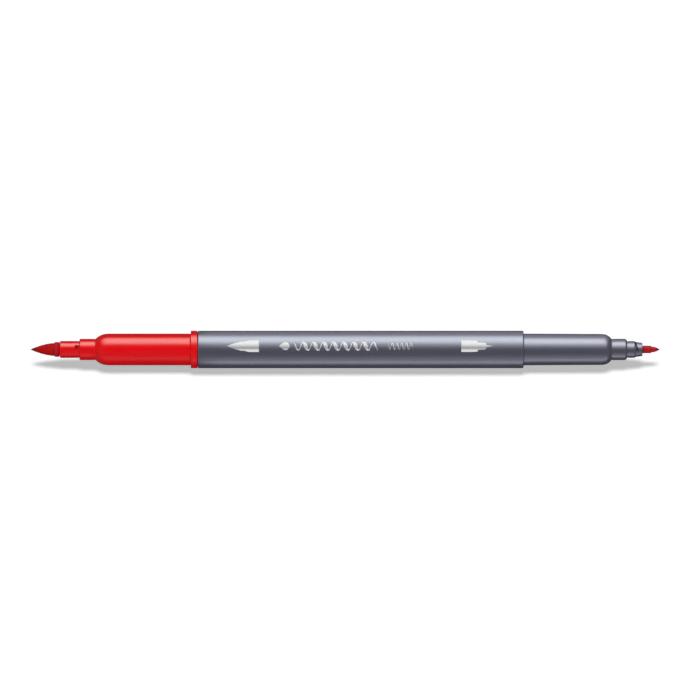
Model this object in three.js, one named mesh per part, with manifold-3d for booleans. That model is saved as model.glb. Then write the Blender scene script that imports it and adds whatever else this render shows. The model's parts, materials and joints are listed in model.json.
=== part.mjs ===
// A twin-tip calligraphy marker with its caps off: a flexible brush tip at -X and a fine fibre tip at +X,
// both fed by one fibre ink reservoir inside a slim metallic-grey barrel.
// Millimetres, +Z up. The marker lies along X on the plane Z = 0, and X = 0 is halfway between its points.
import * as THREE from "three";
import { mergeVertices } from "three/addons/utils/BufferGeometryUtils.js";
import Module from "manifold-3d";

const wasm = await Module();
wasm.setup();

// ---- Driving dimensions -------------------------------------------------------------------------

const LENGTH = 151; // point to point
const BARREL_R = 4.5;
const BARREL_BORE_R = 3.7;
const GRIP_R = 3.8; // both end sections, where the fingers rest and the caps slide over
const FINE_GRIP_FRONT_R = 3.71; // the fine end's grip has a little mould draft
const NOSE_R = 2.55; // the brush end's nozzle and the fine end's neck
const SPIGOT_R = 3.62; // the part of a section that is pushed into the barrel
const CAVITY_R = 3.05; // inside both sections, around the reservoir

// Stations along X, from the brush end to the fine end.
const BRUSH_POINT = -LENGTH / 2;
const FLEX_X = -70; // centre of the brush tip's bend
const BRUSH_RING = { front: -69.7, back: -68.5 };
const BRUSH_HOLDER = { front: -68.4, back: -57.05 };
const NOZZLE_FRONT = -63.72;
const BRUSH_SHOULDER = { front: -59.85, back: -56 };
const COLLAR = { front: -37, back: -35.3 };
const BARREL = { front: -35.25, back: 42.85 };
const FINE_GRIP = { back: 42.9, front: 61 };
const FINE_SHOULDER_FRONT = 63.93;
const NECK_FRONT = 67.68;
const FINE_HOLDER = { back: 61.35, step: 69.4, front: 71.35 };
const FINE_POINT = LENGTH / 2;

const SPIGOT_LENGTH = 8;
const SPIGOT_LEAD_IN = { length: 0.4, depth: 0.17 }; // bevel on a spigot's end
const CHAMFER = 0.15;
const STOP_CLEARANCE = 0.04; // between a grip and the foot of the face that stops its cap
const RESERVOIR = { front: -50, back: 54, coreR: 2.75, filmInnerR: 2.8, filmR: 2.95 };
const RESERVOIR_STOP = { innerR: 2.4, width: 0.6, clearance: 0.3 }; // ribs in each section's cavity
const RIB_ROOT = 0.3; // how far a rib runs into the wall that it stands on
const BREATHER = { r: 0.4, boreR: 0.2, grooveR: 0.47, offset: 2.33, angle: 135 };
const BEAD = { height: 0.14, halfWidth: 0.4, flat: 0.15 };
const BEAD_CLEARANCE = 0.08;

// Angles about X: 0 is +Y, 90 is straight up, and 180 is -Y, the side that faces the writer.
const VENT_ANGLE = 127;
const VENT_SLIT_ANGLE = 144;

const SEGMENTS = 48; // flats round a turned part
const SMALL_SEGMENTS = 12; // round the breather tube
const AXIS_Z = BARREL_R * Math.cos(Math.PI / SEGMENTS); // one flat of the barrel lies on Z = 0

// ---- Materials ----------------------------------------------------------------------------------

const material = (color, roughness, metalness = 0) =>
  new THREE.MeshStandardMaterial({ color, roughness, metalness });

const GREY_METALLIC = material(0x7c808c, 0.35, 0.7);
const RED_PLASTIC = material(0xd2101a, 0.3);
const RED_FIBRE = material(0x9c1c1a, 0.8);
const INKED_FIBRE = material(0xb03038, 0.9);
const CLEAR_FILM = material(0xd8dce0, 0.2);
const WHITE_TUBE = material(0xe8e8e4, 0.4);

// ---- Geometry helpers ---------------------------------------------------------------------------

// A solid turned about +X from [x, radius] points. The profile starts and ends on the axis, or is closed.
function turned(profile, segments = SEGMENTS) {
  const points = profile.map(([x, r]) => new THREE.Vector2(r, x));
  return new THREE.LatheGeometry(points, segments, Math.PI / segments).rotateZ(-Math.PI / 2);
}

// The outline of a turned tube: its outside points from low to high x, then its inside points back again.
const loop = (outside, inside) => [...outside, ...inside, outside[0]];

// Points on a curve that rises from [x0, r0] and levels out at [x1, r1]; a higher power levels out sooner.
function swell([x0, r0], [x1, r1], power, steps) {
  return Array.from({ length: steps + 1 }, (_, i) => {
    const t = i / steps;
    return [x0 + (x1 - x0) * t, r1 - (r1 - r0) * (1 - t) ** power];
  });
}

// Points on an arc about [cx, cr] between two angles in degrees: 0 is +X, and 90 is away from the axis.
function arc(cx, cr, radius, from, to, steps) {
  return Array.from({ length: steps + 1 }, (_, i) => {
    const a = THREE.MathUtils.degToRad(from + ((to - from) * i) / steps);
    return [cx + radius * Math.cos(a), Math.max(0, cr + radius * Math.sin(a))];
  });
}

function toSolid(geometry) {
  const bare = (geometry.index ? geometry.toNonIndexed() : geometry.clone())
    .deleteAttribute("normal")
    .deleteAttribute("uv");
  const merged = mergeVertices(bare, 1e-4);
  return new wasm.Manifold(
    new wasm.Mesh({
      numProp: 3,
      vertProperties: merged.attributes.position.array,
      triVerts: new Uint32Array(merged.index.array),
    }),
  );
}

function toGeometry(solid) {
  const { vertProperties, triVerts } = solid.getMesh();
  return new THREE.BufferGeometry()
    .setAttribute("position", new THREE.BufferAttribute(vertProperties, 3))
    .setIndex(new THREE.BufferAttribute(triVerts, 1))
    .toNonIndexed();
}

const joined = (geometry, tools) =>
  toGeometry(tools.reduce((solid, tool) => solid.add(toSolid(tool)), toSolid(geometry)));
const cut = (geometry, tools) =>
  toGeometry(tools.reduce((solid, tool) => solid.subtract(toSolid(tool)), toSolid(geometry)));

// A bar along X between two radii, turned to an angle about the axis.
function bar(x0, x1, innerR, outerR, width, angle) {
  return new THREE.BoxGeometry(x1 - x0, outerR - innerR, width)
    .translate((x0 + x1) / 2, (innerR + outerR) / 2, 0)
    .rotateX(THREE.MathUtils.degToRad(angle));
}

// Equal bars spaced evenly round the axis.
const ring = (count, firstAngle, makeBar) =>
  Array.from({ length: count }, (_, i) => makeBar(firstAngle + (360 / count) * i));

// ---- Barrel -------------------------------------------------------------------------------------

const RIB = { count: 4, width: 0.6, innerR: 3.02 };

// A long tube. Four ribs inside it centre the reservoir and leave air channels, a shallow groove near
// each end takes the snap bead of a section, and the fine end's mouth is chamfered inside.
function barrel() {
  const frontGroove = beadProfile(COLLAR.back + SPIGOT_LENGTH / 2, BARREL_BORE_R, BEAD_CLEARANCE);
  const backGroove = beadProfile(FINE_GRIP.back - SPIGOT_LENGTH / 2, BARREL_BORE_R, BEAD_CLEARANCE);
  const edge = 0.3; // rounding of the open end at the fine side
  const tube = turned(
    loop(
      [
        [BARREL.front, BARREL_R - CHAMFER],
        [BARREL.front + CHAMFER, BARREL_R],
        ...arc(BARREL.back - edge, BARREL_R - edge, edge, 90, 0, 4),
      ],
      [
        [BARREL.back, GRIP_R + STOP_CLEARANCE],
        [BARREL.back - CHAMFER, BARREL_BORE_R],
        ...backGroove.reverse(),
        ...frontGroove.reverse(),
        [BARREL.front, BARREL_BORE_R],
      ],
    ),
  );
  const clearOfSpigot = 0.6;
  const x0 = COLLAR.back + SPIGOT_LENGTH + clearOfSpigot;
  const x1 = FINE_GRIP.back - SPIGOT_LENGTH - clearOfSpigot;
  const rootR = BARREL_BORE_R + RIB_ROOT;
  return joined(
    tube,
    ring(RIB.count, 45, (angle) => bar(x0, x1, RIB.innerR, rootR, RIB.width, angle)),
  );
}

// A low ridge round a cylinder of radius r, at x: a snap bead on a spigot, or its groove in the barrel.
function beadProfile(x, r, clearance = 0) {
  const half = BEAD.halfWidth + clearance;
  const flat = BEAD.flat + clearance;
  return [
    [x - half, r],
    [x - flat, r + BEAD.height],
    [x + flat, r + BEAD.height],
    [x + half, r],
  ];
}

// ---- Brush end ----------------------------------------------------------------------------------

// The red end plug: collar, grip, shoulder and nozzle outside, spigot and snap bead inside the barrel.
// Four ribs in its cavity stop the reservoir, and a lip at the back of its bore stops the nib holder.
function brushSection() {
  const spigotEnd = COLLAR.back + SPIGOT_LENGTH;
  const groove = { width: 0.24, depth: 0.08 }; // relief under the collar
  const lip = { front: -57, back: -56.6, r: 1.6, cone: 1.4 };
  const boreR = 2.08;
  const nozzleEdge = 0.25;
  const shell = turned(
    loop(
      [
        ...arc(NOZZLE_FRONT + nozzleEdge, NOSE_R - nozzleEdge, nozzleEdge, 180, 90, 3),
        ...swell(
          [BRUSH_SHOULDER.front, NOSE_R],
          [BRUSH_SHOULDER.back, GRIP_R],
          3,
          9,
        ),
        [COLLAR.front - groove.width, GRIP_R],
        [COLLAR.front - groove.width / 2, GRIP_R - groove.depth],
        [COLLAR.front, GRIP_R + STOP_CLEARANCE],
        [COLLAR.front, BARREL_R - CHAMFER],
        [COLLAR.front + CHAMFER, BARREL_R],
        [COLLAR.back - CHAMFER, BARREL_R],
        [COLLAR.back, BARREL_R - CHAMFER],
        [COLLAR.back, SPIGOT_R],
        ...beadProfile(COLLAR.back + SPIGOT_LENGTH / 2, SPIGOT_R),
        [spigotEnd - SPIGOT_LEAD_IN.length, SPIGOT_R],
        [spigotEnd, SPIGOT_R - SPIGOT_LEAD_IN.depth],
      ],
      [
        [spigotEnd, CAVITY_R],
        [lip.back + lip.cone, CAVITY_R],
        [lip.back, lip.r],
        [lip.front, lip.r],
        [lip.front, boreR],
        [NOZZLE_FRONT, boreR],
      ],
    ),
  );
  return joined(shell, reservoirStops(-55.6, RESERVOIR.front - RESERVOIR_STOP.clearance));
}

// Four ribs in the cavity of a section, which keep the reservoir from sliding along the marker.
function reservoirStops(x0, x1) {
  const { innerR, width } = RESERVOIR_STOP;
  return ring(4, 0, (angle) => bar(x0, x1, innerR, CAVITY_R + RIB_ROOT, width, angle));
}

// A red sleeve in the nozzle that carries the nib. Two channels in its wall, each with a hole through at its
// front, let air in past the nib, and three ribs at its back grip the nib's tail.
function brushNibHolder() {
  const outerR = 2.03;
  const boreR = 1.5;
  const mouthEdge = 0.1;
  const sleeve = turned(
    loop(
      [
        [BRUSH_HOLDER.front, outerR - mouthEdge],
        [BRUSH_HOLDER.front + mouthEdge, outerR],
        [BRUSH_HOLDER.back, outerR],
      ],
      [
        [BRUSH_HOLDER.back, boreR],
        [BRUSH_HOLDER.front, boreR],
      ],
    ),
  );
  const grip = { front: -59.6, innerR: 1.2, rootR: 1.7, width: 0.5 };
  const vent = { front: -64.8, back: -58, width: 0.95, floorR: 1.75 };
  const hole = { back: vent.front + 0.5, floorR: 1.3 };
  const ribbed = joined(
    sleeve,
    ring(3, VENT_ANGLE + 30, (angle) =>
      bar(grip.front, BRUSH_HOLDER.back, grip.innerR, grip.rootR, grip.width, angle),
    ),
  );
  const outside = outerR + 0.5;
  const { front, back, width, floorR } = vent;
  return cut(ribbed, [
    ...ring(2, VENT_ANGLE, (angle) => bar(front, back, floorR, outside, width, angle)),
    ...ring(2, VENT_ANGLE, (angle) => bar(front, hole.back, hole.floorR, outside, width, angle)),
  ]);
}

// The brush tip proper, which bends. Its rounded heel is centred on the bend, so it turns clear of the ring.
function brushNibTip() {
  const base = { x: -70.4, r: 1.52 };
  const heelR = 1.1;
  const heelStart = THREE.MathUtils.radToDeg(Math.acos((base.x - FLEX_X) / heelR));
  return turned([
    ...swell([BRUSH_POINT, 0], [base.x, base.r], 1.75, 12),
    ...arc(FLEX_X, 0, heelR, heelStart, 0, 6),
  ]);
}

// The rest of the brush nib: a ring at the holder's mouth with a cup for the heel, a body held in the holder,
// and a thin tail that reaches into the reservoir.
function brushNibRoot() {
  const cupR = 1.4;
  const cupEdge = THREE.MathUtils.radToDeg(Math.acos((BRUSH_RING.front - FLEX_X) / cupR));
  const rim = { r: 1.8, frontR: 1.68, bevel: 0.15, backR: 1.72, taper: 0.6 };
  const body = { back: -60.5, r: 1.45 };
  const tail = { front: -60.1, back: -44, r: 1.12, bevel: 0.3 };
  return turned([
    ...arc(FLEX_X, 0, cupR, 0, cupEdge, 5),
    [BRUSH_RING.front, rim.frontR],
    [BRUSH_RING.front + rim.bevel, rim.r],
    [BRUSH_RING.back - rim.taper, rim.r],
    [BRUSH_RING.back, rim.backR],
    [BRUSH_RING.back, body.r],
    [body.back, body.r],
    [tail.front, tail.r],
    [tail.back - tail.bevel, tail.r],
    [tail.back, tail.r - tail.bevel],
    [tail.back, 0],
  ]);
}

// ---- Fine end -----------------------------------------------------------------------------------

// The grey end plug: grip, shoulder and neck outside, spigot and snap bead inside the barrel.
function fineSection() {
  const spigotEnd = FINE_GRIP.back - SPIGOT_LENGTH;
  const lip = { back: 60.9, front: 61.3, r: 1.4, cone: 1.8 };
  const boreR = 2.05;
  const neckEdge = { r: 0.62, start: 90, end: 12 };
  const shell = turned(
    loop(
      [
        [spigotEnd, SPIGOT_R - SPIGOT_LEAD_IN.depth],
        [spigotEnd + SPIGOT_LEAD_IN.length, SPIGOT_R],
        ...beadProfile(FINE_GRIP.back - SPIGOT_LENGTH / 2, SPIGOT_R),
        [FINE_GRIP.back, SPIGOT_R],
        [FINE_GRIP.back, GRIP_R],
        ...swell(
          [FINE_SHOULDER_FRONT, NOSE_R],
          [FINE_GRIP.front, FINE_GRIP_FRONT_R],
          3.2,
          9,
        ).reverse(),
        ...arc(NECK_FRONT - neckEdge.r, NOSE_R - neckEdge.r, neckEdge.r, neckEdge.start, neckEdge.end, 5),
      ],
      [
        [NECK_FRONT, boreR],
        [lip.front, boreR],
        [lip.front, lip.r],
        [lip.back, lip.r],
        [lip.back - lip.cone, CAVITY_R],
        [spigotEnd, CAVITY_R],
      ],
    ),
  );
  return joined(shell, reservoirStops(RESERVOIR.back + RESERVOIR_STOP.clearance, 60));
}

// A grey sleeve in the neck with a cone on its end. It grips the fine nib, and a slanted slit over the top
// of the cone is its air inlet.
function fineNibHolder() {
  const outerR = 2;
  const nibBoreR = 0.95;
  const backBore = { x: 67, r: 1.3, cone: 0.4 };
  const cone = { back: 69.7, backR: 1.82, frontR: 1.57 };
  const sleeve = turned(
    loop(
      [
        [FINE_HOLDER.back, outerR],
        [FINE_HOLDER.step, outerR],
        [cone.back, cone.backR],
        [FINE_HOLDER.front, cone.frontR],
      ],
      [
        [FINE_HOLDER.front, nibBoreR],
        [backBore.x, nibBoreR],
        [backBore.x - backBore.cone, backBore.r],
        [FINE_HOLDER.back, backBore.r],
      ],
    ),
  );
  const grip = { front: 64.5, rootR: 1.5, width: 0.4 };
  const ribbed = joined(
    sleeve,
    ring(3, 90, (angle) =>
      bar(FINE_HOLDER.back, grip.front, nibBoreR, grip.rootR, grip.width, angle),
    ),
  );
  const slit = { x: 70.13, width: 0.25, floorR: 1.42, lean: 18, reach: 3, foot: 0.4 };
  const blade = new THREE.BoxGeometry(slit.width, slit.reach, slit.reach)
    .translate(0, slit.reach / 2, slit.foot - slit.reach / 2)
    .rotateY(THREE.MathUtils.degToRad(slit.lean));
  const floor = turned([
    [-slit.reach, 0],
    [-slit.reach, slit.floorR],
    [slit.reach, slit.floorR],
    [slit.reach, 0],
  ]);
  const tool = cut(blade, [floor])
    .rotateX(THREE.MathUtils.degToRad(VENT_SLIT_ANGLE))
    .translate(slit.x, 0, 0);
  return cut(ribbed, [tool]);
}

// A fibre rod with a pointed end, which reaches back into the reservoir.
function fineNib() {
  const r = 0.9;
  const back = { x: 49, r: 0.65, bevel: 0.3 };
  const point = { back: 73.25, foot: 73.6, footR: 0.68 };
  return turned([
    [back.x, 0],
    [back.x, back.r],
    [back.x + back.bevel, r],
    [point.back, r],
    ...swell([FINE_POINT, 0], [point.foot, point.footR], 2, 7).reverse(),
  ]);
}

// ---- Ink supply ---------------------------------------------------------------------------------

// The fibre core, with a blind hole at each end for a nib and a groove along it for the breather tube.
function reservoirCore() {
  const brushHole = { depth: 6.3, r: 1.2 };
  const fineHole = { depth: 5.3, r: 1 };
  const core = turned([
    [RESERVOIR.front + brushHole.depth, 0],
    [RESERVOIR.front + brushHole.depth, brushHole.r],
    [RESERVOIR.front, brushHole.r],
    [RESERVOIR.front, RESERVOIR.coreR],
    [RESERVOIR.back, RESERVOIR.coreR],
    [RESERVOIR.back, fineHole.r],
    [RESERVOIR.back - fineHole.depth, fineHole.r],
    [RESERVOIR.back - fineHole.depth, 0],
  ]);
  const past = 1; // how far the cutting shapes reach beyond the core
  const x0 = RESERVOIR.front - past;
  const x1 = RESERVOIR.back + past;
  const outside = RESERVOIR.coreR + past;
  const groove = rodAlong(x0, x1, BREATHER.grooveR);
  const mouth = bar(x0, x1, BREATHER.offset, outside, 2 * BREATHER.grooveR, BREATHER.angle);
  return cut(core, [groove, mouth]);
}

// A thin film sleeve that keeps the ink in the core.
function reservoirFilm() {
  const { front, back, filmInnerR, filmR } = RESERVOIR;
  return turned(
    loop(
      [
        [front, filmR],
        [back, filmR],
      ],
      [
        [back, filmInnerR],
        [front, filmInnerR],
      ],
    ),
  );
}

// A round bar where the breather tube lies, beside the marker's axis.
function rodAlong(x0, x1, r) {
  const angle = THREE.MathUtils.degToRad(BREATHER.angle);
  return turned(
    [
      [x0, 0],
      [x0, r],
      [x1, r],
      [x1, 0],
    ],
    SMALL_SEGMENTS,
  ).translate(0, BREATHER.offset * Math.cos(angle), BREATHER.offset * Math.sin(angle));
}

// A fine tube the length of the reservoir, which lets air pass from one end of the marker to the other.
function breatherTube() {
  const { front, back } = RESERVOIR;
  const past = 0.1; // how far the tube stands out of the core
  const tube = rodAlong(front - past, back + past, BREATHER.r);
  return cut(tube, [rodAlong(front - 2 * past, back + 2 * past, BREATHER.boreR)]);
}

// ---- Assembly -----------------------------------------------------------------------------------

const marker = new THREE.Group();
marker.position.z = AXIS_Z;

function add(name, geometry, look) {
  const mesh = new THREE.Mesh(geometry, look);
  mesh.name = name;
  marker.add(mesh);
}

add("barrel", barrel(), GREY_METALLIC);
add("brush_section", brushSection(), RED_PLASTIC);
add("brush_nib_holder", brushNibHolder(), RED_PLASTIC);
add("brush_nib_tip", brushNibTip(), RED_FIBRE);
add("brush_nib_root", brushNibRoot(), RED_FIBRE);
add("fine_section", fineSection(), GREY_METALLIC);
add("fine_nib_holder", fineNibHolder(), GREY_METALLIC);
add("fine_nib", fineNib(), RED_FIBRE);
add("reservoir_core", reservoirCore(), INKED_FIBRE);
add("reservoir_film", reservoirFilm(), CLEAR_FILM);
add("breather_tube", breatherTube(), WHITE_TUBE);

export default marker;
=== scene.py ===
import json
import math

import bmesh
import bpy
import numpy as np
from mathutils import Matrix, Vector, noise

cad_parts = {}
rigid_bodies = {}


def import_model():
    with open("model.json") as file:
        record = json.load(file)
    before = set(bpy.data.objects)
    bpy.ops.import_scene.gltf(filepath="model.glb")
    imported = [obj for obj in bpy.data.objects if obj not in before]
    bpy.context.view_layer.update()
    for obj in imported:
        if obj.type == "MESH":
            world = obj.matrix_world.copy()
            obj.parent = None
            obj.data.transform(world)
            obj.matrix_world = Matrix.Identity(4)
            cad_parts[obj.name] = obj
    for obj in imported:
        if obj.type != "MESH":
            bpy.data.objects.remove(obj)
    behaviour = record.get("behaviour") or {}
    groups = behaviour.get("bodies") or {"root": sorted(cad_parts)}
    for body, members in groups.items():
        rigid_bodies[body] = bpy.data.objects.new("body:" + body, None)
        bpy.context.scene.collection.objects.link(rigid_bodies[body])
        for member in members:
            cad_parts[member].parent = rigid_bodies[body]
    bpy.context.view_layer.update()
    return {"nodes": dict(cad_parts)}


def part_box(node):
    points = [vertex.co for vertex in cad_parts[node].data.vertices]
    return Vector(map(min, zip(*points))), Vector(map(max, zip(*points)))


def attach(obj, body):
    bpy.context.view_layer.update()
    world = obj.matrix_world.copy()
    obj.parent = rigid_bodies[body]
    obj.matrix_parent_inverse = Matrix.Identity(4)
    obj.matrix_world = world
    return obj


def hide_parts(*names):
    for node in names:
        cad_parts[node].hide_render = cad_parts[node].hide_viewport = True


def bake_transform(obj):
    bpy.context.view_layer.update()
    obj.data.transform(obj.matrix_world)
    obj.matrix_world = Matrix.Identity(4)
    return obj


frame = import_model()

MM = 0.001

# ---- Places that come from the frame, in millimetres ---------------------------------------------


def span(node):
    """Lowest and highest X of a CAD node."""
    low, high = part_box(node)
    return low.x / MM, high.x / MM


BARREL_X0, BARREL_X1 = span("barrel")
NOZZLE_X, BRUSH_SPIGOT_X = span("brush_section")
BRUSH_SLEEVE_X0, BRUSH_SLEEVE_X1 = span("brush_nib_holder")
BRUSH_POINT_X = span("brush_nib_tip")[0]
BRUSH_TAIL_X = span("brush_nib_root")[1]
FINE_SPIGOT_X, NECK_X = span("fine_section")
FINE_SLEEVE_X0, FINE_SLEEVE_X1 = span("fine_nib_holder")
FINE_TAIL_X, FINE_POINT_X = span("fine_nib")

barrel_low, barrel_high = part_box("barrel")
AXIS_Z = (barrel_low.z + barrel_high.z) / 2 / MM
BARREL_R = (barrel_high.z - barrel_low.z) / 2 / MM

# ---- Sizes of the turned parts, in millimetres ---------------------------------------------------

BORE_R = 3.7
GRIP_R = 3.8
FINE_GRIP_FRONT_R = 3.71
NOSE_R = 2.55
SPIGOT_R = 3.62
CAVITY_R = 3.05
SPIGOT_LENGTH = 8
COLLAR_LENGTH = 1.7
COLLAR_X1 = BRUSH_SPIGOT_X - SPIGOT_LENGTH
COLLAR_X0 = COLLAR_X1 - COLLAR_LENGTH
FINE_GRIP_X0 = FINE_SPIGOT_X + SPIGOT_LENGTH
BRUSH_BEAD_X = COLLAR_X1 + SPIGOT_LENGTH / 2
FINE_BEAD_X = FINE_GRIP_X0 - SPIGOT_LENGTH / 2
FOOT_RELIEF = 0.36  # length of the shallow relief at the foot of each shoulder
VIEW_ELEVATION = 36  # degrees above the floor, for the camera and the marks that face it
VENT_ANGLE = 53  # where the brush sleeve's air slot is, in degrees up from -Y
# painted reflection: the printed marks are painted greyest along this angle, as silvery ink mirroring
# the dark studio
PRINT_SHADE = VIEW_ELEVATION + 4.5  # the greyest line of the printed marks, in degrees up from -Y
PRINT_FADE_UP = 13  # degrees from that line to full white above it
PRINT_FADE_DOWN = 8  # and below it
ROUND = 192  # steps round a large turned piece
SLIM_ROUND = 128  # steps round a sleeve
SHARP = 35  # an edge that turns by more than this many degrees is shaded sharp
FIBRE_SHARP = 50  # the same for the nibs

# ---- Mesh helpers --------------------------------------------------------------------------------


def arc(cx, cr, radius, start, end, steps=8):
    """Outline points on an arc; angles in degrees, 0 along +X and 90 away from the axis."""
    angles = np.radians(np.linspace(start, end, steps + 1))
    return [(cx + radius * math.cos(a), max(0.0, cr + radius * math.sin(a))) for a in angles]


def swell(foot, crest, power, steps=28):
    """Outline points that leave foot steeply and level out at crest."""
    (x0, r0), (x1, r1) = foot, crest
    return [
        (x0 + (x1 - x0) * t, r1 - (r1 - r0) * (1 - t) ** power)
        for t in np.linspace(0, 1, steps + 1)
    ]


def rounded(corners, steps=5):
    """An outline from corners (x, r) or (x, r, radius): a corner with a radius becomes an arc."""
    points = []
    count = len(corners)
    for i, corner in enumerate(corners):
        here = Vector(corner[:2])
        if len(corner) == 2:
            points.append(tuple(here))
            continue
        back = Vector(corners[i - 1][:2]) - here
        ahead = Vector(corners[(i + 1) % count][:2]) - here
        half = back.angle(ahead) / 2
        radius = corner[2]
        reach = radius / math.tan(half)
        inward = (back.normalized() + ahead.normalized()).normalized()
        centre = here + inward * radius / math.sin(half)
        first = here + back.normalized() * reach - centre
        last = here + ahead.normalized() * reach - centre
        turn = first.angle(last)
        for t in np.linspace(0, 1, steps + 1):
            blend = first * math.sin((1 - t) * turn) + last * math.sin(t * turn)
            points.append(tuple(centre + blend / math.sin(turn)))
    return points


def on_axis(x, r, angle):
    """A point in metres at a radius and an angle in radians about the marker's axis, up from -Y."""
    return (x * MM, -r * math.cos(angle) * MM, (AXIS_Z + r * math.sin(angle)) * MM)


def shade_smooth(mesh, sharp=SHARP):
    mesh.polygons.foreach_set("use_smooth", [True] * len(mesh.polygons))
    mesh.set_sharp_from_angle(angle=math.radians(sharp))


def make_object(name, vertices, faces, sharp=SHARP):
    mesh = bpy.data.meshes.new(name)
    mesh.from_pydata(vertices, [], faces)
    outward = bmesh.new()
    outward.from_mesh(mesh)
    bmesh.ops.recalc_face_normals(outward, faces=outward.faces)
    outward.to_mesh(mesh)
    outward.free()
    shade_smooth(mesh, sharp)
    piece = bpy.data.objects.new(name, mesh)
    bpy.context.scene.collection.objects.link(piece)
    return piece


def turned(name, outline, around=ROUND, relief=None, sharp=SHARP):
    """A solid turned about the marker's axis. The outline closes on itself, or starts and ends on
    the axis. relief(x, r, angle) gives the radius at a point where the solid isn't quite round."""
    vertices, faces, rings = [], [], []
    angles = [2 * math.pi * k / around for k in range(around)]
    for x, r in outline:
        first = len(vertices)
        if r < 1e-6:
            vertices.append(on_axis(x, 0, 0))
            rings.append([first] * around)
        else:
            for a in angles:
                vertices.append(on_axis(x, relief(x, r, a) if relief else r, a))
            rings.append(list(range(first, first + around)))
    open_ended = outline[0][1] < 1e-6
    pairs = len(rings) - 1 if open_ended else len(rings)
    for i in range(pairs):
        a, b = rings[i], rings[(i + 1) % len(rings)]
        for k in range(around):
            n = (k + 1) % around
            corners = list(dict.fromkeys([a[k], b[k], b[n], a[n]]))
            if len(corners) > 2:
                faces.append(corners)
    return make_object(name, vertices, faces, sharp)


def cut_out(piece, *cutters):
    """Cuts the cutters out of a piece and leaves a plain mesh."""
    for cutter in cutters:
        modifier = piece.modifiers.new("cut", "BOOLEAN")
        modifier.operation = "DIFFERENCE"
        modifier.solver = "EXACT"
        modifier.object = cutter
    evaluated = piece.evaluated_get(bpy.context.evaluated_depsgraph_get())
    mesh = bpy.data.meshes.new_from_object(evaluated)
    piece.modifiers.clear()
    piece.data = mesh
    shade_smooth(mesh)
    for cutter in cutters:
        bpy.data.objects.remove(cutter)


BOX_FACES = [(0, 1, 3, 2), (4, 6, 7, 5), (0, 4, 5, 1), (2, 3, 7, 6), (0, 2, 6, 4), (1, 5, 7, 3)]


def bar(name, x0, x1, inner, outer, width, angle):
    """A straight bar along X between two radii, at an angle in degrees up from -Y."""
    a = math.radians(angle)
    out = Vector((0, -math.cos(a), math.sin(a)))
    side = Vector((0, math.sin(a), math.cos(a)))
    base = Vector((0, 0, AXIS_Z))
    corners = [
        (Vector((x, 0, 0)) + base + out * r + side * w) * MM
        for x in (x0, x1)
        for r in (inner, outer)
        for w in (-width / 2, width / 2)
    ]
    return make_object(name, [tuple(c) for c in corners], BOX_FACES)


def ribs(count, first, x0, x1, bore_r, crest_r, width):
    """Relief for a bore with equal ribs along it, the first of them at an angle in degrees."""

    def relief(x, r, angle):
        if abs(r - bore_r) > 1e-3 or not x0 <= x <= x1:
            return r
        turn = (math.degrees(angle) - first) % (360 / count)
        off = min(turn, 360 / count - turn)
        return crest_r if math.radians(off) * crest_r < width / 2 else r

    return relief


# ---- Material helpers ----------------------------------------------------------------------------


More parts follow.
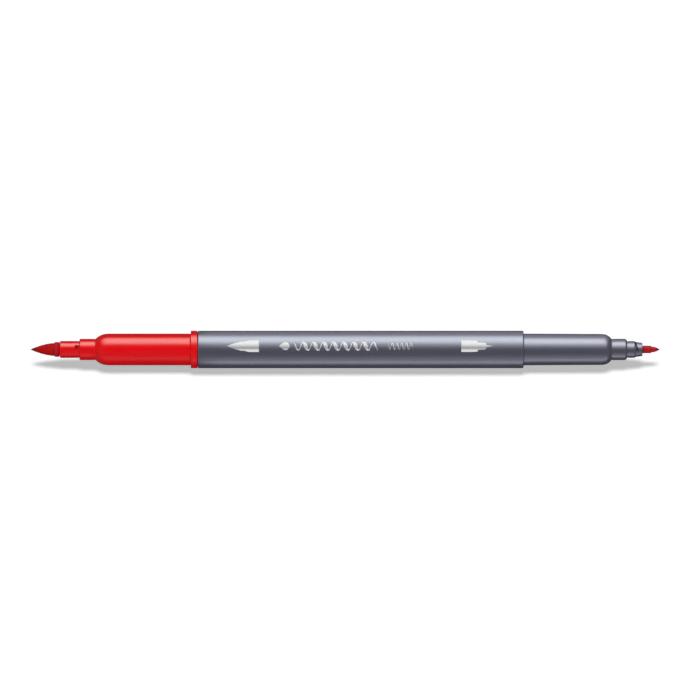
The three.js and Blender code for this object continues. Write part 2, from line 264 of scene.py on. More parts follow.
class Nodes:
    """A short way to write a material's node tree. Texture coordinates are in millimetres."""

    def __init__(self, name):
        self.material = bpy.data.materials.new(name)
        self.material.use_nodes = True
        self.tree = self.material.node_tree
        self.surface = self.tree.nodes["Principled BSDF"]
        self.place = self.node("ShaderNodeTexCoord").outputs["Object"]

    def node(self, kind, **settings):
        made = self.tree.nodes.new(kind)
        for key, value in settings.items():
            setattr(made, key, value)
        return made

    def plug(self, socket, value):
        if isinstance(value, bpy.types.NodeSocket):
            self.tree.links.new(value, socket)
        else:
            socket.default_value = value

    def scaled(self, x, y, z):
        """Object coordinates times a number of repeats per millimetre on each axis."""
        mapping = self.node("ShaderNodeMapping")
        self.plug(mapping.inputs["Vector"], self.place)
        mapping.inputs["Scale"].default_value = (x / MM, y / MM, z / MM)
        return mapping.outputs["Vector"]

    def noise(self, scale, detail=2.0, roughness=0.5):
        made = self.node("ShaderNodeTexNoise")
        self.plug(made.inputs["Vector"], self.scaled(*scale))
        made.inputs["Scale"].default_value = 1
        made.inputs["Detail"].default_value = detail
        made.inputs["Roughness"].default_value = roughness
        return made.outputs["Fac"]

    def cells(self, scale):
        """A random grey for each small cell."""
        made = self.node("ShaderNodeTexVoronoi")
        self.plug(made.inputs["Vector"], self.scaled(scale, scale, scale))
        made.inputs["Scale"].default_value = 1
        grey = self.node("ShaderNodeSeparateColor")
        self.plug(grey.inputs["Color"], made.outputs["Color"])
        return grey.outputs["Red"]

    def fit(self, value, low, high, to_low=0.0, to_high=1.0, smooth=False):
        """The range from low to high, fitted to another range."""
        made = self.node("ShaderNodeMapRange")
        made.interpolation_type = "SMOOTHSTEP" if smooth else "LINEAR"
        for key, number in (("Value", value), ("From Min", low), ("From Max", high),
                            ("To Min", to_low), ("To Max", to_high)):
            self.plug(made.inputs[key], number)
        return made.outputs["Result"]

    def along(self, x0, x1):
        """0 before x0 and 1 after x1, in millimetres along the marker."""
        parts = self.node("ShaderNodeSeparateXYZ")
        self.plug(parts.inputs["Vector"], self.place)
        return self.fit(parts.outputs["X"], x0 * MM, x1 * MM, smooth=True)

    def across(self):
        """How far in front of the marker's axis and how far above it, in metres."""
        parts = self.node("ShaderNodeSeparateXYZ")
        self.plug(parts.inputs["Vector"], self.place)
        ahead = self.maths("MULTIPLY", parts.outputs["Y"], -1.0)
        return ahead, self.maths("SUBTRACT", parts.outputs["Z"], AXIS_Z * MM)

    def around(self):
        """The angle about the marker's axis, in degrees up from -Y."""
        ahead, above = self.across()
        return self.maths("MULTIPLY", self.maths("ARCTAN2", above, ahead), 180 / math.pi)

    def recess(self, radius, x0, x1):
        """1 where a hole goes in past a radius, between two places along the marker; it masks painted
        shade.
        """
        soft_r, soft_x = 0.03, 0.05
        ahead, above = self.across()
        squares = [self.maths("MULTIPLY", part, part) for part in (ahead, above)]
        distance = self.maths("SQRT", self.maths("ADD", *squares), 0.0)
        deep = self.fit(distance, (radius - soft_r) * MM, (radius + soft_r) * MM, 1, 0, smooth=True)
        between = self.maths("SUBTRACT", self.along(x0 - soft_x, x0), self.along(x1, x1 + soft_x))
        return self.maths("MULTIPLY", deep, between)

    def mix(self, amount, a, b):
        made = self.node("ShaderNodeMix", data_type="RGBA")
        self.plug(made.inputs["Factor"], amount)
        self.plug(made.inputs["A"], a)
        self.plug(made.inputs["B"], b)
        return made.outputs["Result"]

    def maths(self, operation, a, b):
        made = self.node("ShaderNodeMath", operation=operation)
        self.plug(made.inputs[0], a)
        self.plug(made.inputs[1], b)
        return made.outputs[0]

    def bump(self, height, depth, normal=None):
        """Bump whose height runs from 0 to depth, in millimetres."""
        made = self.node("ShaderNodeBump")
        made.inputs["Distance"].default_value = depth * MM
        self.plug(made.inputs["Height"], height)
        if normal is not None:
            self.plug(made.inputs["Normal"], normal)
        return made.outputs["Normal"]

    def set(self, **inputs):
        for key, value in inputs.items():
            self.plug(self.surface.inputs[key.replace("_", " ")], value)


def dress(piece, made):
    """Gives a piece its only material."""
    piece.data.materials.clear()
    piece.data.materials.append(made.material)


# ---- Materials -----------------------------------------------------------------------------------


def metallic_grey(recess=None):
    """Satin plastic full of fine metal flake, with a trace of orange peel and fine rub marks along
    it. A recess, if it has one, is painted dark as shade."""
    n = Nodes("grey_metallic_plastic")
    flake = n.cells(11)
    cloud = n.noise((0.35, 0.6, 0.6), 3)
    tone = n.maths("ADD", n.fit(flake, 0, 1, -0.05, 0.05), n.fit(cloud, 0.3, 0.7, 0.46, 0.54))
    rubs = n.noise((1.2, 22, 22), 2)
    colour = n.mix(tone, (0.212, 0.213, 0.265, 1), (0.341, 0.343, 0.426, 1))
    if recess:
        # painted shade: the colour turns dark inside the recess
        colour = n.mix(n.recess(*recess), colour, (0.05, 0.047, 0.062, 1))
    n.set(
        Base_Color=colour,
        Metallic=0.85,
        Roughness=n.fit(rubs, 0.3, 0.7, 0.31, 0.37),
        Normal=n.bump(flake, 0.0012, n.bump(n.noise((1.6, 2.4, 2.4), 2), 0.003)),
    )
    return n


def red_plastic(recess=None):
    """Glossy moulded red with a faint flow pattern and hairline handling marks.
    In a recess, if it has one, it is dull and painted dark as shade."""
    n = Nodes("red_plastic")
    flow = n.noise((0.25, 0.9, 0.9), 3)
    rubs = n.noise((1.5, 26, 26), 3)
    colour = n.mix(n.fit(flow, 0.3, 0.7), (0.68, 0.0002, 0.002, 1), (0.75, 0.0005, 0.004, 1))
    roughness = n.fit(rubs, 0.3, 0.7, 0.1, 0.16)
    coat = 1.0
    if recess:
        deep = n.recess(*recess)
        # painted shade: the colour turns dark inside the recess; it is also made dull
        colour = n.mix(deep, colour, (0.33, 0.0002, 0.0008, 1))
        roughness = n.maths("MAXIMUM", roughness, deep)
        coat = n.maths("SUBTRACT", 1.0, deep)
    n.set(
        Base_Color=colour,
        Roughness=roughness,
        IOR=1.55,
        Coat_Weight=coat,
        Coat_Roughness=0.04,
        Normal=n.bump(n.noise((1.2, 2.2, 2.2), 2), 0.002),
    )
    return n


def brush_fibre(ring_x0, ring_x1):
    """Bundled fibres soaked with red ink, darkest at the point, paler on the front of the ring.
    The back of the ring, next to the sleeve, is painted darker as shade.
    """
    n = Nodes("brush_fibre")
    strand = n.noise((0.5, 13, 13), 3, 0.6)
    pores = n.noise((3, 24, 24), 2)
    body = n.mix(n.fit(strand, 0.3, 0.7), (0.25, 0.001, 0.0005, 1), (0.5, 0.004, 0.002, 1))
    on_ring = n.maths("MULTIPLY", n.along(ring_x0 - 0.1, ring_x0 + 0.1), 0.8)
    ringed = n.mix(on_ring, body, (0.47, 0.008, 0.016, 1))
    # painted shade: the back of the ring, where it meets the sleeve, is darkened
    shaded = n.mix(n.along(ring_x1 - 0.75, ring_x1 - 0.4), ringed, (0.37, 0.0005, 0.002, 1))
    wet = n.maths("SUBTRACT", 1.0, n.along(BRUSH_POINT_X + 0.2, BRUSH_POINT_X + 2.4))
    n.set(
        Base_Color=n.mix(wet, shaded, (0.11, 0.008, 0.007, 1)),
        Roughness=n.fit(pores, 0.3, 0.7, 0.5, 0.7),
        Specular_IOR_Level=0.1,
        Normal=n.bump(pores, 0.01, n.bump(strand, 0.03)),
    )
    return n


def fine_fibre():
    """A hard fibre rod soaked with red ink, darker at its ground point, and painted dark as shade at
    its root where it leaves the sleeve."""
    n = Nodes("fine_fibre")
    strand = n.noise((0.5, 16, 16), 3, 0.6)
    pores = n.noise((4, 30, 30), 2)
    body = n.mix(n.fit(strand, 0.3, 0.7), (0.25, 0.001, 0.003, 1), (0.48, 0.003, 0.008, 1))
    # painted shade: the root of the rod at the sleeve's mouth is darkened
    root_shaded = n.mix(n.along(FINE_SLEEVE_X1, FINE_SLEEVE_X1 + 0.7), (0.15, 0.001, 0.008, 1), body)
    wet = n.along(FINE_POINT_X - 1.2, FINE_POINT_X - 0.1)
    n.set(
        Base_Color=n.mix(wet, root_shaded, (0.04, 0.001, 0.002, 1)),
        Roughness=n.fit(pores, 0.3, 0.7, 0.3, 0.45),
        Specular_IOR_Level=0.25,
        Normal=n.bump(pores, 0.008, n.bump(strand, 0.02)),
    )
    return n


def inked_core():
    """The reservoir's soft fibre, unevenly filled with ink."""
    n = Nodes("inked_fibre")
    strand = n.noise((0.3, 9, 9), 3, 0.6)
    fill = n.noise((0.06, 0.4, 0.4), 2)
    colour = n.mix(n.fit(fill, 0.35, 0.65), (0.42, 0.02, 0.03, 1), (0.6, 0.08, 0.1, 1))
    n.set(
        Base_Color=n.mix(n.fit(strand, 0.3, 0.7, 0, 0.4), colour, (0.75, 0.35, 0.36, 1)),
        Roughness=n.fit(strand, 0.3, 0.7, 0.8, 0.95),
        Normal=n.bump(strand, 0.05),
    )
    return n


def clear_film():
    """Thin clear wrap with shallow wrinkles."""
    n = Nodes("clear_film")
    wrinkle = n.noise((0.8, 1.5, 1.5), 3)
    n.set(
        Base_Color=n.mix(wrinkle, (0.82, 0.84, 0.88, 1), (0.92, 0.93, 0.95, 1)),
        Roughness=n.fit(wrinkle, 0.3, 0.7, 0.1, 0.25),
        Alpha=0.45,
        Normal=n.bump(wrinkle, 0.02),
    )
    return n


def white_tube():
    """Milky extruded tube with fine drawing lines."""
    n = Nodes("white_tube")
    lines = n.noise((0.1, 12, 12), 2)
    n.set(
        Base_Color=n.mix(lines, (0.72, 0.72, 0.69, 1), (0.84, 0.84, 0.82, 1)),
        Roughness=n.fit(lines, 0.3, 0.7, 0.3, 0.45),
        Normal=n.bump(lines, 0.005),
    )
    return n


def pale_print():
    """Silvery white ink, grainy from the printing pad, with painted reflection greying a line below
    its middle.
    """
    n = Nodes("pale_print")
    grain = n.noise((14, 14, 14), 2)
    turn = n.around()
    # painted reflection: a grey band about PRINT_SHADE, fading to white above and below
    upper = n.fit(turn, PRINT_SHADE, PRINT_SHADE + PRINT_FADE_UP, 0, 1)
    lower = n.fit(turn, PRINT_SHADE - PRINT_FADE_DOWN, PRINT_SHADE, 1, 0)
    light = n.maths("ADD", n.maths("MAXIMUM", upper, lower), n.fit(grain, 0.3, 0.7, -0.05, 0.05))
    n.set(
        Base_Color=n.mix(light, (0.27, 0.28, 0.25, 1), (0.72, 0.75, 0.68, 1)),
        Roughness=n.fit(grain, 0.3, 0.7, 0.35, 0.5),
        Normal=n.bump(grain, 0.002),
    )
    return n


GREY = metallic_grey()
RED = red_plastic()
PRINT = pale_print()

# ---- Barrel --------------------------------------------------------------------------------------


def bead(x, radius, half=0.4, flat=0.15):
    """Outline of a low snap ridge round a spigot, with its half widths at the foot and the crest."""
    crest = radius + 0.14
    return [(x - half, radius), (x - flat, crest), (x + flat, crest), (x + half, radius)]


def bead_groove(x):
    """Outline of the groove in the barrel's bore for a snap ridge, a little wider than that."""
    return reversed(bead(x, BORE_R, half=0.48, flat=0.23))


def make_barrel():
    rib_gap = 0.6  # from each spigot to the ribs
    rib_x0, rib_x1 = BRUSH_SPIGOT_X + rib_gap, FINE_SPIGOT_X - rib_gap
    rib_end = 0.01  # length of the steep end of a rib
    outline = rounded([
        (BARREL_X0, BARREL_R, 0.14),
        (BARREL_X0 + 0.24, BARREL_R),
        (BARREL_X1 - 0.42, BARREL_R),
        (BARREL_X1, BARREL_R, 0.32),
        (BARREL_X1, GRIP_R + 0.04),
        (BARREL_X1 - 0.15, BORE_R),
        *bead_groove(FINE_BEAD_X),
        (rib_x1 + rib_end, BORE_R),
        (rib_x1, BORE_R),
        (rib_x0, BORE_R),
        (rib_x0 - rib_end, BORE_R),
        *bead_groove(BRUSH_BEAD_X),
        (BARREL_X0, BORE_R),
    ])
    relief = ribs(count=4, first=45, x0=rib_x0, x1=rib_x1, bore_r=BORE_R, crest_r=3.02, width=0.6)
    piece = turned("barrel_tube", outline, around=256, relief=relief)
    dress(piece, GREY)
    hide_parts("barrel")
    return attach(piece, "pen_body")


# ---- Brush end -----------------------------------------------------------------------------------


def groove(x0, x1, radius):
    """Outline of a shallow relief where a slim part meets a thick one, which shows as a dark line.
    A point close to each end keeps the shading of the face beyond it straight."""
    third, depth, close = (x1 - x0) / 3, 0.05, 0.04
    return [
        (x0 - close, radius), (x0, radius), (x0 + third, radius - depth),
        (x1 - third, radius - depth), (x1, radius), (x1 + close, radius),
    ]


def make_brush_section():
    sleeve_bore, lip_bore = 2.08, 1.6
    shoulder_x0, shoulder_x1 = NOZZLE_X + 3.87, NOZZLE_X + 7.72
    lip_x = BRUSH_SLEEVE_X1 + 0.05  # the lip stops the sleeve
    shoulder = swell((shoulder_x0, NOSE_R), (shoulder_x1, GRIP_R), power=3.0)
    outline = rounded([
        (NOZZLE_X, sleeve_bore),
        (NOZZLE_X, NOSE_R, 0.3),
        *groove(shoulder_x0 - FOOT_RELIEF, shoulder_x0, NOSE_R)[:-2],
        *shoulder,
        (COLLAR_X0 - 0.28, GRIP_R),
        (COLLAR_X0 - 0.24, GRIP_R),
        (COLLAR_X0 - 0.12, GRIP_R - 0.08),  # a relief in front of the collar
        (COLLAR_X0, GRIP_R + 0.04),
        (COLLAR_X0, BARREL_R, 0.14),
        (COLLAR_X0 + 0.24, BARREL_R),
        (COLLAR_X1 - 0.3, BARREL_R),
        (COLLAR_X1 - 0.2, BARREL_R, 0.05),
        (COLLAR_X1, BARREL_R - 0.3),  # the seam between the collar and the barrel
        (COLLAR_X1, SPIGOT_R),
        *bead(BRUSH_BEAD_X, SPIGOT_R),
        (BRUSH_SPIGOT_X, SPIGOT_R, 0.3),
        (BRUSH_SPIGOT_X, CAVITY_R),
        (lip_x + 1.8, CAVITY_R),
        (lip_x + 0.4, lip_bore),
        (lip_x, lip_bore),
        (lip_x, sleeve_bore),
    ])
    piece = turned("brush_grip", outline)
    dress(piece, RED)
    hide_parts("brush_section")
    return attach(piece, "pen_body")


def make_brush_sleeve():
    outer, bore = 2.03, 1.5
    slot_width, channel_floor, hole_floor, dark_below = 0.95, 1.75, 1.2, 1.9
    outline = rounded([
        (BRUSH_SLEEVE_X0, outer, 0.2),
        *groove(NOZZLE_X - 0.4, NOZZLE_X + 0.2, outer),
        (BRUSH_SLEEVE_X1, outer, 0.05),
        (BRUSH_SLEEVE_X1, bore),
        (BRUSH_SLEEVE_X0, bore, 0.08),
    ])
    piece = turned("brush_sleeve", outline, SLIM_ROUND)
    slot_x0, slot_x1 = BRUSH_SLEEVE_X0 + 3.6, BRUSH_SLEEVE_X1 - 0.95
    hole_x1 = slot_x0 + 0.5
    for turn in (0, 180):
        angle = VENT_ANGLE + turn
        channel = bar("channel", slot_x0, slot_x1, channel_floor, outer + 0.5, slot_width, angle)
        hole = bar("hole", slot_x0, hole_x1, hole_floor, outer, slot_width, angle)
        cut_out(piece, channel)
        cut_out(piece, hole)
    # painted shade: the air slot's channel and hole, below dark_below, get the red's dark recess
    # colour
    dress(piece, red_plastic((dark_below, slot_x0 - 0.2, slot_x1)))
    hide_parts("brush_nib_holder")
    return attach(piece, "pen_body")


def fibres(count, depth, seed):
    """Relief of a bundle of fibres: shallow lengthwise ridges that wander a little and fade out
    near the axis."""
    around, wander, fade_r = count / 6, 0.35, 0.5

    def relief(x, r, angle):
        place = Vector((math.cos(angle) * around, math.sin(angle) * around, x * wander + seed))
        share = min(1.0, r / fade_r)
        return r + depth * share * noise.noise(place)

    return relief


def make_brush_nib():
    """One piece, as on the real marker, from the point to the tail in the reservoir."""
    body_r, tail_r, bend_length = 1.45, 1.12, 2.4
    cone_x = BRUSH_SLEEVE_X0 - 1.35
    ring_x = BRUSH_SLEEVE_X0 - 0.1
    cone = swell((BRUSH_POINT_X, 0), (cone_x, 1.54), power=1.7, steps=56)
    outline = cone + rounded([
        (cone_x + 0.02, 1.56),
        (cone_x + 0.12, 1.8, 0.12),
        (ring_x, 1.76, 0.1),
        (ring_x, body_r),
        (BRUSH_SLEEVE_X1 - 3.4, body_r, 0.2),
        (BRUSH_SLEEVE_X1 - 3.1, tail_r, 0.2),
        (BRUSH_TAIL_X, tail_r, 0.3),
        (BRUSH_TAIL_X, 0),
    ])
    relief = fibres(count=50, depth=0.035, seed=3.0)
    piece = turned("brush_nib", outline, ROUND, relief, FIBRE_SHARP)
    dress(piece, brush_fibre(cone_x + 0.1, ring_x))
    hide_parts("brush_nib_tip", "brush_nib_root")
    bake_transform(piece)
    return piece


# ---- Fine end ------------------------------------------------------------------------------------


def make_fine_section():
    sleeve_bore, lip_bore, neck_round = 2.05, 1.4, 0.62
    shoulder_x0, shoulder_x1 = NECK_X - 6.68, NECK_X - 3.75
    lip_x = FINE_SLEEVE_X0 - 0.05  # the lip stops the sleeve
    shoulder = swell((shoulder_x1, NOSE_R), (shoulder_x0, FINE_GRIP_FRONT_R), power=3.2)
    outline = [
        *rounded([
            (FINE_SPIGOT_X, CAVITY_R),
            (FINE_SPIGOT_X, SPIGOT_R, 0.3),
            *bead(FINE_BEAD_X, SPIGOT_R),
            (FINE_GRIP_X0, SPIGOT_R),
            (FINE_GRIP_X0, GRIP_R, 0.05),
            (FINE_GRIP_X0 + 0.5, GRIP_R),
        ]),
        *reversed(shoulder),
        *groove(shoulder_x1, shoulder_x1 + FOOT_RELIEF, NOSE_R)[2:],
        *arc(NECK_X - neck_round, NOSE_R - neck_round, neck_round, 90, 12),
        *rounded([
            (NECK_X, sleeve_bore),
            (lip_x, sleeve_bore),
            (lip_x, lip_bore),
            (lip_x - 0.4, lip_bore),
            (lip_x - 2.2, CAVITY_R),
        ]),
    ]
    piece = turned("fine_grip", outline)
    dress(piece, GREY)
    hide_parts("fine_section")
    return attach(piece, "pen_body")


def make_fine_sleeve():
    outer, nib_bore, back_bore = 2.0, 0.95, 1.3
    slit_floor, dark_below = 1.35, 1.5
    shelf_x = FINE_SLEEVE_X1 - 1.93  # where the sleeve steps down to its cone
    outline = rounded([
        (FINE_SLEEVE_X0, outer),
        *groove(NECK_X - 0.1, NECK_X + 0.26, outer),
        (shelf_x, outer, 0.12),
        (shelf_x + 0.3, 1.82, 0.05),
        (FINE_SLEEVE_X1, 1.57, 0.08),
        (FINE_SLEEVE_X1, nib_bore, 0.06),
        (FINE_SLEEVE_X1 - 4.35, nib_bore),
        (FINE_SLEEVE_X1 - 4.75, back_bore),
        (FINE_SLEEVE_X0, back_bore),
    ])
    piece = turned("fine_sleeve", outline, SLIM_ROUND)
    cut_out(piece, air_slit(FINE_SLEEVE_X1 - 1.22, slit_floor))
    # painted shade: the slit's floor, below dark_below, gets the grey's dark recess colour
    slit_grey = metallic_grey((dark_below, shelf_x, FINE_SLEEVE_X1 - 0.3))
    dress(piece, slit_grey)
    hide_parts("fine_nib_holder")
    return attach(piece, "pen_body")


def air_slit(x, floor_r):
    """The cutter for a slanted slit, from just below the line that faces the camera to over the
    top, and in to the radius of its floor."""
    width, lean, top, bottom, reach = 0.46, math.radians(18), 2.2, -0.22, 3
    a = math.radians(VIEW_ELEVATION)
    out = Vector((0, -math.cos(a), math.sin(a)))
    up = Vector((0, math.sin(a), math.cos(a)))
    along = Vector((1, 0, 0))
    across = along * math.cos(lean) + up * math.sin(lean)
    up_slit = up * math.cos(lean) - along * math.sin(lean)
    base = Vector((x, 0, AXIS_Z))
    corners = [
        tuple((base + across * w + up_slit * h + out * r) * MM)
        for w in (-width / 2, width / 2)
        for h in (bottom, top)
        for r in (0, reach)
    ]
    blade = make_object("blade", corners, BOX_FACES)
    x0, x1 = x - reach, x + reach
    core = turned("core", [(x0, 0), (x0, floor_r), (x1, floor_r), (x1, 0)], 96)
    cut_out(blade, core)
    return blade


def make_fine_nib():
    rod_r, cone_foot = 0.9, (FINE_POINT_X - 1.9, 0.68)
    outline = [
        *rounded([
            (FINE_TAIL_X, 0),
            (FINE_TAIL_X, rod_r, 0.25),
            (FINE_POINT_X - 2.25, rod_r, 0.15),
            cone_foot,
        ])[:-1],
        *reversed(swell((FINE_POINT_X, 0), cone_foot, power=2, steps=30)),
    ]
    relief = fibres(count=40, depth=0.02, seed=9.0)
    piece = turned("fine_nib_rod", outline, 96, relief, FIBRE_SHARP)
    dress(piece, fine_fibre())
    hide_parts("fine_nib")
    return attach(piece, "pen_body")


# ---- Ink supply, which stays as CAD nodes --------------------------------------------------------


def dress_ink_supply():
    for node, made in (
        ("reservoir_core", inked_core()),
        ("reservoir_film", clear_film()),
        ("breather_tube", white_tube()),
    ):
        dress(frame["nodes"][node], made)


# ---- Printed marks -------------------------------------------------------------------------------

PRINT_ANGLE = VIEW_ELEVATION + 10.5  # the marks' middle line, in degrees up from -Y
PRINT_LIFT = 0.02  # how far the marks stand out of the barrel and reach into it
PRINT_SINK = 0.03
BRUSH_ICON_X = BARREL_X0 + 6.98
DROP_X = BARREL_X0 + 19.4
BROAD_STROKE_X = BARREL_X0 + 22.85
NARROW_STROKE_X = BARREL_X0 + 45.45
FINE_ICON_X = BARREL_X1 - 14.98


def ribbon(path, halves, rows):
    """Vertices and faces of a thin slab wrapped on the barrel, about a path of (x, height) points
    and with a half width at each of them."""
    points = np.array(path, float)
    tangents = np.gradient(points, axis=0)
    tangents /= np.linalg.norm(tangents, axis=1)[:, None]
    normals = np.stack([-tangents[:, 1], tangents[:, 0]], axis=1)
    shares = np.linspace(-1, 1, rows + 1)
    count, wide = len(points), rows + 1
    vertices = []
    for radius in (BARREL_R - PRINT_SINK, BARREL_R + PRINT_LIFT):
        for point, normal, half in zip(points, normals, halves):
            for share in shares:
                x, height = point + normal * half * share
                vertices.append(on_axis(x, radius, math.radians(PRINT_ANGLE) + height / BARREL_R))
    layer = count * wide
    faces = []
    for i in range(count - 1):
        for j in range(rows):
            a, b = i * wide + j, (i + 1) * wide + j
            c, d = b + 1, a + 1
            faces.append((a, d, c, b))
            faces.append((a + layer, b + layer, c + layer, d + layer))
    rim = [i * wide for i in range(count)]
    rim += [(count - 1) * wide + j for j in range(1, wide)]
    rim += [i * wide + rows for i in range(count - 2, -1, -1)]
    rim += [j for j in range(rows - 1, 0, -1)]
    for a, b in zip(rim, rim[1:] + rim[:1]):
        faces.append((a, b, b + layer, a + layer))
    return vertices, faces


def print_mark(name, shape):
    piece = make_object(name, *shape)
    dress(piece, PRINT)
    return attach(piece, "pen_body")


def silhouette(start, halves):
    """A filled shape lying along the barrel, from (distance, half width) pairs of its outline."""
    step = 0.12
    path, widths = [], []
    for (d0, h0), (d1, h1) in zip(halves, halves[1:]):
        steps = max(1, round((d1 - d0) / step))
        for t in np.arange(steps) / steps:
            path.append((start + (d0 + (d1 - d0) * t), 0))
            widths.append(h0 + (h1 - h0) * t)
    path.append((start + halves[-1][0], 0))
    widths.append(halves[-1][1])
    return ribbon(path, widths, rows=8)


def wave(start, length, periods, height, thin, thick):
    """A pen stroke that swells on its way down and thins on its way up, tapered at both ends."""
    steps = int(periods * 28)
    taper_rate, least_taper = 12, 0.15
    path, widths = [], []
    for t in np.linspace(0, 1, steps + 1):
        turn = 2 * math.pi * periods * t
        path.append((start + length * t, height * math.cos(turn)))
        falling = max(0.0, math.sin(turn)) ** 1.5
        taper = max(least_taper, min(1.0, taper_rate * t, taper_rate * (1 - t)))
        widths.append((thin + (thick - thin) * falling) * taper / 2)
    return ribbon(path, widths, rows=4)


def make_prints():
    cone_length, cone_half = 3.0, 0.95
    brush_cone = [
        (d, cone_half * (1 - (1 - d / cone_length) ** 1.4))
        for d in np.linspace(0.03, cone_length, 14)
    ]
    print_mark("mark_brush_tip", silhouette(BRUSH_ICON_X, [
        *brush_cone, (3.04, 1.08), (4.2, 1.13), (4.7, 1.3), (5.4, 1.41), (6.0, 1.43), (7.65, 1.43),
    ]))
    print_mark("mark_fine_tip", silhouette(FINE_ICON_X, [
        (0, 1.43), (1.8, 1.42), (3.2, 1.38), (3.9, 1.34), (3.95, 0.88), (5.4, 0.84), (5.95, 0.7),
        (6.0, 0.26), (6.8, 0.18), (7.5, 0.02),
    ]))
    bulb_r, bulb_x, drop_length, end_half = 0.98, 1.6, 2.58, 0.02
    tangent = bulb_r ** 2 / bulb_x
    tail_slope = bulb_r / math.sqrt(bulb_x ** 2 - bulb_r ** 2)
    drop = []
    for d in np.linspace(0.05, drop_length, 36):
        in_tail = d < bulb_x - tangent
        bulb_half = math.sqrt(max(end_half ** 2, bulb_r ** 2 - (d - bulb_x) ** 2))
        drop.append((d, tail_slope * d if in_tail else bulb_half))
    print_mark("mark_ink_drop", silhouette(DROP_X, drop))
    broad = wave(BROAD_STROKE_X, length=20.4, periods=8.5, height=1.0, thin=0.22, thick=0.95)
    print_mark("mark_broad_stroke", broad)
    narrow = wave(NARROW_STROKE_X, length=6.2, periods=5.5, height=0.8, thin=0.1, thick=0.26)
    print_mark("mark_narrow_stroke", narrow)


# ---- Floor, light and camera ---------------------------------------------------------------------


def make_floor():
    """A white floor that glows a little, so that the shadow on it isn't too dark."""
    half = 6.0
    corners = [(x, y, 0) for x, y in ((-half, -half), (half, -half), (half, half), (-half, half))]
    floor = make_object("floor", corners, [(0, 1, 2, 3)])
    n = Nodes("floor_white")
    grain = n.noise((0.05, 0.05, 0.05), 2)
    n.set(
        Base_Color=n.mix(grain, (0.84, 0.84, 0.84, 1), (0.86, 0.86, 0.86, 1)),
        Roughness=0.9,
        Specular_IOR_Level=0.0,
        Emission_Color=(1, 1, 1, 1),
        Emission_Strength=0.49,
    )
    dress(floor, n)
    floor.visible_glossy = False
    floor.visible_shadow = False
    floor.visible_diffuse = False
    return floor


# Brightness of the studio round the marker, as gloss sees it: degrees up from -Y, and brightness.
# The softbox is overhead and a little behind, a bright table in front reflects from below, and
# black cards dim the rest.
STUDIO = [
    (-180, 0.04), (-98, 0.02), (-76, 0.02), (-64, 0.03), (-53, 0.09), (-43, 0.18), (-34, 0.26),
    (-25, 0.19), (-15, 0.08), (0, 0.02), (35, 0.015), (48, 0.04), (57, 0.09), (64, 0.2),
    (72, 0.7), (80, 1.55), (90, 2.55), (104, 2.85), (114, 2.55), (124, 1.5), (133, 0.36), (145, 0.04),
    (180, 0.04),
]
STUDIO_PEAK = max(level for degrees, level in STUDIO)
STUDIO_TINT = (0.966, 1, 0.925)
# The same along the marker: degrees towards the fine end, and the share of it that is left there.
# What is lost gives way to the brightness of the studio's sides.
STUDIO_LENGTH = [(-90, 0), (-43, 0), (-10, 1), (20, 1), (50, 0), (90, 0)]
STUDIO_SIDES = 0.1
FILL_COLOUR = (1, 0.95, 1.15)  # of the lamps other than the key
SCRIM_DISTANCE = 20  # millimetres from the marker's axis


def make_world():
    world = bpy.data.worlds.new("studio")
    bpy.context.scene.world = world
    world.use_nodes = True
    world.cycles_visibility.diffuse = False
    tree = world.node_tree
    tree.nodes.clear()

    def node(kind, inputs=(), **settings):
        made = tree.nodes.new(kind)
        for key, value in settings.items():
            setattr(made, key, value)
        for key, value in dict(inputs).items():
            if isinstance(value, bpy.types.NodeSocket):
                tree.links.new(value, made.inputs[key])
            else:
                made.inputs[key].default_value = value
        return made

    def maths(operation, *values):
        return node("ShaderNodeMath", enumerate(values), operation=operation).outputs[0]

    def grey(level):
        return (level, level, level, 1)

    def tinted(level):
        return (*(level * share for share in STUDIO_TINT), 1)

    def ramp(angle, stops, colour):
        """A colour that follows an angle in radians through stops of degrees and level."""
        made = node("ShaderNodeValToRGB", {"Fac": maths("MULTIPLY_ADD", angle, 0.5 / math.pi, 0.5)})
        elements = made.color_ramp.elements
        elements.remove(elements[1])
        for i, (degrees, level) in enumerate(stops):
            element = elements.new(degrees / 360 + 0.5) if i else elements[0]
            element.position = degrees / 360 + 0.5
            element.color = colour(level)
        return made.outputs["Color"]

    direction = node("ShaderNodeTexCoord").outputs["Generated"]
    x, y, z = node("ShaderNodeSeparateXYZ", {"Vector": direction}).outputs
    turn = maths("ARCTAN2", z, maths("MULTIPLY", y, -1))
    round_marker = ramp(turn, [(degrees, level / STUDIO_PEAK) for degrees, level in STUDIO], tinted)
    along_marker = ramp(maths("ARCSINE", x), STUDIO_LENGTH, grey)
    studio = node("ShaderNodeMix", {
        "Factor": along_marker, "A": tinted(STUDIO_SIDES / STUDIO_PEAK), "B": round_marker,
    }, data_type="RGBA").outputs["Result"]
    is_camera = node("ShaderNodeLightPath").outputs["Is Camera Ray"]
    seen = node("ShaderNodeMix", {
        "Factor": is_camera, "A": studio, "B": grey(1 / STUDIO_PEAK),
    }, data_type="RGBA").outputs["Result"]
    background = node("ShaderNodeBackground", {"Color": seen, "Strength": STUDIO_PEAK})
    node("ShaderNodeOutputWorld", {"Surface": background.outputs[0]})


def make_lamp(name, elevation, level, softness, colour=(1, 1, 1), spared=None):
    """A distant lamp that gives shading and shadow but no gloss. Its elevation is in degrees up
    from -Y, its softness is the width of its disc in degrees, and it doesn't light what is spared."""
    data = bpy.data.lights.new(name, "SUN")
    data.energy = level * math.pi
    data.color = colour
    data.angle = math.radians(softness)
    lamp = bpy.data.objects.new(name, data)
    lamp.visible_glossy = False
    a = math.radians(elevation)
    lamp.rotation_mode = "QUATERNION"
    lamp.rotation_quaternion = Vector((0, -math.cos(a), math.sin(a))).to_track_quat("Z", "Y")
    bpy.context.scene.collection.objects.link(lamp)
    if spared:
        receivers = bpy.data.collections.new(name)
        receivers.objects.link(spared)
        receivers.collection_objects[0].light_linking.link_state = "EXCLUDE"
        lamp.light_linking.receiver_collection = receivers


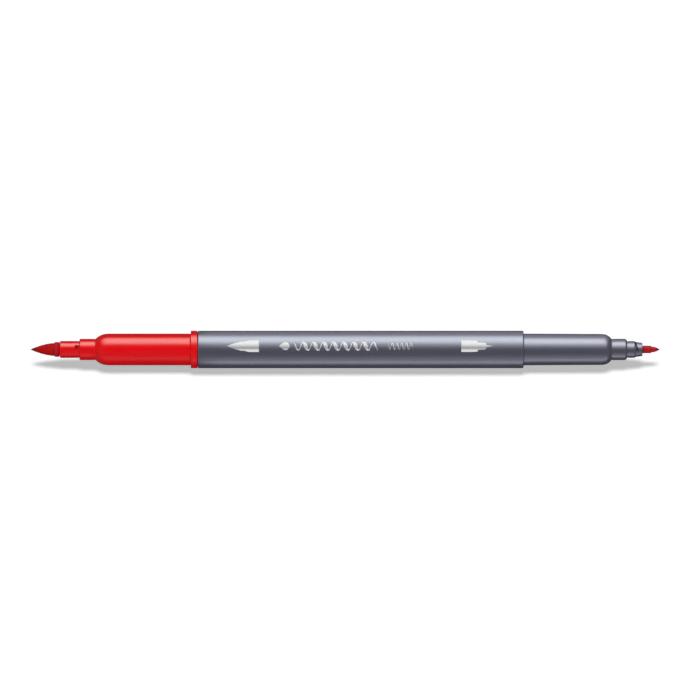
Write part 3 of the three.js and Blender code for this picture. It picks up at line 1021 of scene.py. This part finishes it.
def make_scrim(name, middle, width, level):
    """A glowing scrim along the grey parts that only gloss sees, and sees through.
    It fills an angle about the marker's axis, given by its middle and its width in degrees."""
    edges = [math.radians(middle - width / 2), math.radians(middle + width / 2)]
    ends = (BARREL_X0 + 1, FINE_POINT_X + 3)
    corners = [on_axis(x, SCRIM_DISTANCE, a) for x in ends for a in edges]
    card = make_object(name, corners, [(0, 1, 3, 2)])
    material = bpy.data.materials.new(name)
    material.use_nodes = True
    tree = material.node_tree
    tree.nodes.clear()
    glow = tree.nodes.new("ShaderNodeEmission")
    glow.inputs["Strength"].default_value = level
    both = tree.nodes.new("ShaderNodeAddShader")
    tree.links.new(glow.outputs[0], both.inputs[0])
    tree.links.new(tree.nodes.new("ShaderNodeBsdfTransparent").outputs[0], both.inputs[1])
    tree.links.new(both.outputs[0], tree.nodes.new("ShaderNodeOutputMaterial").inputs["Surface"])
    card.data.materials.append(material)
    card.visible_camera = False
    card.visible_diffuse = False
    card.visible_shadow = False


def make_light(floor):
    make_world()
    make_scrim("low_scrim", middle=-44, width=19, level=0.8)
    make_scrim("front_scrim", middle=-18, width=30, level=0.14)
    make_scrim("upper_scrim", middle=67, width=35, level=0.37)
    make_scrim("back_scrim", middle=147, width=26, level=0.42)
    make_lamp("key", elevation=88, level=0.64, softness=25)
    make_lamp("fill_front", 25, 0.4, 100, FILL_COLOUR, spared=floor)
    make_lamp("fill_back", 155, 0.46, 100, FILL_COLOUR, spared=floor)
    make_lamp("bounce", -28, 0.55, 110, FILL_COLOUR, spared=floor)


def make_camera():
    """A long lens, so that the marker shows almost without perspective. It aims a little beside the
    frame's origin and below the marker's axis."""
    data = bpy.data.cameras.new("camera")
    data.lens = 500
    camera = bpy.data.objects.new("camera", data)
    bpy.context.scene.collection.objects.link(camera)
    frame_width = 0.168  # metres across the picture, at the marker
    beside, below = 0.0012, 0.00016  # metres
    distance = frame_width * data.lens / data.sensor_width
    elevation = math.radians(VIEW_ELEVATION)
    aim = Vector((beside, 0, AXIS_Z * MM - below))
    back = Vector((0, -math.cos(elevation), math.sin(elevation)))
    camera.location = aim + back * distance
    camera.rotation_mode = "QUATERNION"
    camera.rotation_quaternion = (-back).to_track_quat("-Z", "Y")
    data.clip_end = 20
    bpy.context.scene.camera = camera
    bpy.context.scene.view_settings.view_transform = "Standard"


make_camera()
make_barrel()
make_brush_section()
make_brush_sleeve()
make_brush_nib()
make_fine_section()
make_fine_sleeve()
make_fine_nib()
dress_ink_supply()
make_prints()
for piece in bpy.context.scene.objects:
    piece.visible_diffuse = False  # so that no colour of the marker spills into its shadow
make_light(make_floor())
